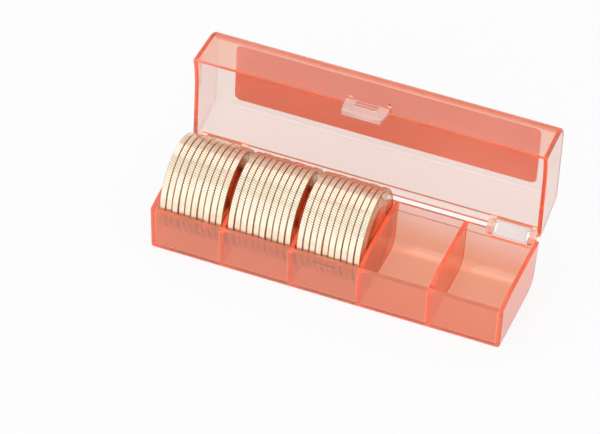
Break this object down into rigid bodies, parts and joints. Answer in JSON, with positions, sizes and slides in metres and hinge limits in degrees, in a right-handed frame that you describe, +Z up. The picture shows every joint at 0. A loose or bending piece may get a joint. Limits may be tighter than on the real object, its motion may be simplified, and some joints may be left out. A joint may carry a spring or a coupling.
{
  "type": "coin storage case",
  "caption": "Hinged rectangular case of clear tinted plastic with side-by-side compartments that hold stacks of coins on edge, and a snap latch tab at the front.",
  "frame": {"origin": "middle of the flat underside of the base, on the plane the case stands on", "axes": "+X along the case's length, towards the right end as seen from the front; +Y from the front with the latch to the hinged rear; +Z up"},
  "size_m": [0.102, 0.0457, 0.0479],
  "materials": {
    "case": "clear, tinted orange-red, glossy",
    "link": "satin white",
    "label": "printed white film",
    "coin": "bright, with a milled edge",
    "ink_orange": "printed ink",
    "ink_grey": "printed ink"
  },
  "bodies": {
    "tray": {"base_tray": "case", "coin_1_01": "coin", "coin_1_02": "coin", "coin_1_03": "coin", "coin_1_04": "coin", "coin_1_05": "coin", "coin_1_06": "coin", "coin_1_07": "coin", "coin_1_08": "coin", "coin_1_09": "coin", "coin_1_10": "coin", "coin_2_01": "coin", "coin_2_02": "coin", "coin_2_03": "coin", "coin_2_04": "coin", "coin_2_05": "coin", "coin_2_06": "coin", "coin_2_07": "coin", "coin_2_08": "coin", "coin_2_09": "coin", "coin_2_10": "coin", "coin_3_01": "coin", "coin_3_02": "coin", "coin_3_03": "coin", "coin_3_04": "coin", "coin_3_05": "coin", "coin_3_06": "coin", "coin_3_07": "coin", "coin_3_08": "coin", "coin_3_09": "coin", "coin_3_10": "coin"},
    "links": {"hinge_link_left": "link", "hinge_link_right": "link"},
    "lid": {"lid": "case", "lid_label": "label", "label_dots": "ink_orange", "label_discs": "ink_grey", "label_bars": "ink_grey"}
  },
  "joints": [
    {"name": "links_turn", "type": "hinge", "parent": "tray", "child": "links", "pos_m": [0, 0.01516, 0.0137], "axis": [1, 0, 0], "range_deg": [0, 44]},
    {"name": "lid_turn", "type": "hinge", "parent": "links", "child": "lid", "pos_m": [0, 0.01752, 0.01615], "axis": [1, 0, 0], "range_deg": [0, 44]}
  ],
  "couplings": [
    {"joint": "links_turn", "follows": "lid_turn", "ratio": 1}
  ]
}
